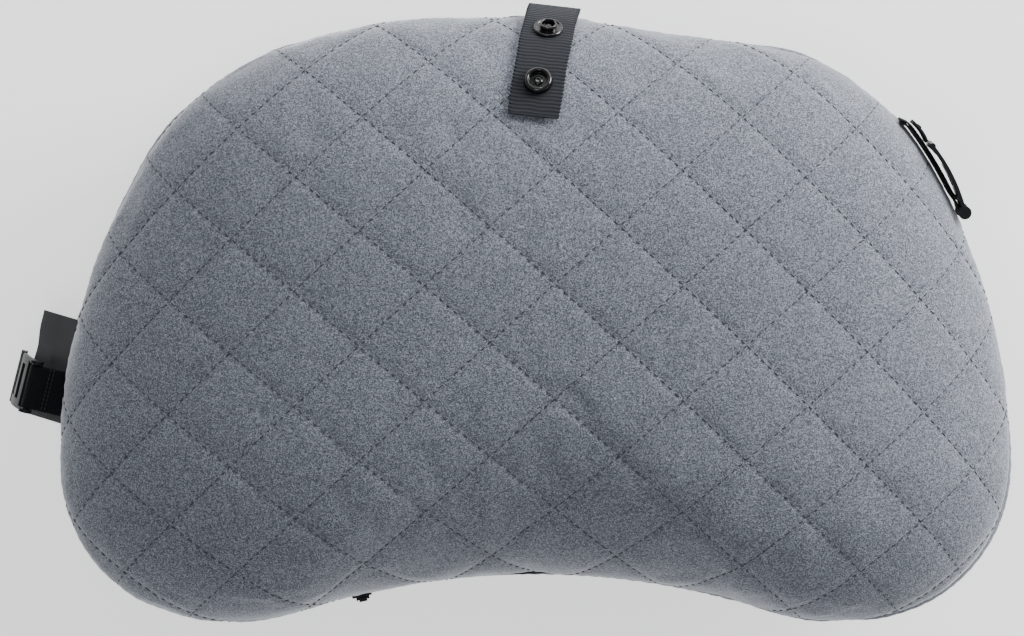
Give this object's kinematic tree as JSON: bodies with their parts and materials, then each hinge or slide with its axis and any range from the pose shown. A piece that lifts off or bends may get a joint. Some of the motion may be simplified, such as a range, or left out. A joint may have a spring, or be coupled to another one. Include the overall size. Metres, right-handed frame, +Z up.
{
  "type": "camp pillow",
  "caption": "Kidney-shaped inflatable camp pillow in a quilted cover, with a snap tab, side strap hooks, a zip and an air valve.",
  "frame": {"origin": "middle of the pressed-flat patch of the back, on the surface the pillow lies on", "axes": "+Z up through the quilted front, +Y towards the crown edge with the snap tab, -Y towards the hollow neck edge, +X to the right as seen from above"},
  "size_m": [0.4521, 0.278, 0.11],
  "materials": {
    "quilt_knit": "heather grey brushed knit, quilted with dark thread",
    "back_knit": "plain dark grey knit",
    "wadding": "white polyester wadding",
    "lining": "thin smooth lining",
    "zip_tape": "black woven tape",
    "zip_nylon": "black nylon coil",
    "bladder_film": "satin coated film",
    "valve_plastic": "black moulded plastic",
    "valve_rubber": "soft silicone",
    "ribbon": "charcoal grosgrain ribbon with cross ribs",
    "snap_black": "glossy black",
    "webbing": "black woven webbing",
    "hardware_black": "black moulded plastic, satin gloss",
    "label_satin": "black satin, blank"
  },
  "bodies": {
    "pillow": {"cover_front_face": "quilt_knit", "cover_front_wadding": "wadding", "cover_front_lining": "lining", "cover_back_panel": "back_knit", "zip_tape_upper": "zip_tape", "zip_tape_lower": "zip_tape", "zip_coil": "zip_nylon", "zip_stops": "zip_nylon", "bladder_top_skin": "bladder_film", "bladder_bottom_skin": "bladder_film", "bladder_baffles": "bladder_film", "valve_housing": "valve_plastic", "valve_rosette": "valve_plastic"},
    "zip_slider_body": {"zip_slider": "hardware_black"},
    "zip_pull_body": {"zip_pull": "hardware_black"},
    "valve_flap_body": {"valve_flap": "valve_rubber"},
    "valve_cap_body": {"valve_cap": "valve_plastic"},
    "tab_base": {"snap_tab_base": "ribbon", "snap_stud": "snap_black", "snap_stud_rivet": "snap_black"},
    "tab_flap": {"snap_tab_flap": "ribbon", "snap_socket": "snap_black", "snap_socket_rivet": "snap_black"},
    "left_strap_body": {"left_strap": "webbing"},
    "left_hook_body": {"left_hook": "hardware_black"},
    "right_strap_body": {"right_strap": "webbing"},
    "right_hook_body": {"right_hook": "hardware_black"},
    "label": {"care_label": "label_satin"}
  },
  "joints": [
    {"name": "tab_lift", "type": "hinge", "parent": "pillow", "child": "tab_base", "pos_m": [0.00861, 0.14497, 0.04825], "axis": [-0.9895, 0.1089, -0.0947], "range_deg": [0, 120]},
    {"name": "tab_fold", "type": "hinge", "parent": "tab_base", "child": "tab_flap", "pos_m": [0.00333, 0.12842, 0.08428], "axis": [-0.9895, 0.1089, -0.0947], "range_deg": [0, 205.1]},
    {"name": "zip_slide", "type": "hinge", "parent": "pillow", "child": "zip_slider_body", "pos_m": [0, -0.45, 0.04305], "axis": [0, 0, -1], "range_deg": [0, 26.6]},
    {"name": "zip_pull_swing", "type": "hinge", "parent": "zip_slider_body", "child": "zip_pull_body", "pos_m": [-0.07763, -0.12161, 0.04252], "axis": [-0.9732, -0.23, 0], "range_deg": [-4, 140]},
    {"name": "valve_cap_swing", "type": "hinge", "parent": "pillow", "child": "valve_cap_body", "pos_m": [0.21129, -0.06566, 0.03582], "axis": [-0.1089, -0.9941, 0], "range_deg": [0, 130]},
    {"name": "valve_flap_open", "type": "hinge", "parent": "pillow", "child": "valve_flap_body", "pos_m": [0.20349, -0.06481, 0.03655], "axis": [0.1089, 0.9941, 0], "range_deg": [0, 30]},
    {"name": "left_strap_swing", "type": "hinge", "parent": "pillow", "child": "left_strap_body", "pos_m": [-0.21415, -0.02825, 0.048], "axis": [0.248, 0.9688, 0], "range_deg": [0, 70]},
    {"name": "left_hook_swing", "type": "hinge", "parent": "left_strap_body", "child": "left_hook_body", "pos_m": [-0.22616, -0.02518, 0.05], "axis": [0.248, 0.9688, 0], "range_deg": [0, 130]},
    {"name": "right_strap_swing", "type": "hinge", "parent": "pillow", "child": "right_strap_body", "pos_m": [0.16573, 0.09216, 0.048], "axis": [0, 0, 1], "range_deg": [0, 80]},
    {"name": "right_hook_swing", "type": "hinge", "parent": "right_strap_body", "child": "right_hook_body", "pos_m": [0.1915, 0.05346, 0.048], "axis": [0, 0, -1], "range_deg": [0, 150]},
    {"name": "label_swing", "type": "hinge", "parent": "pillow", "child": "label", "pos_m": [-0.21165, -0.0182, 0.0454], "axis": [-0.1589, -0.9873, 0], "range_deg": [0, 34]}
  ]
}
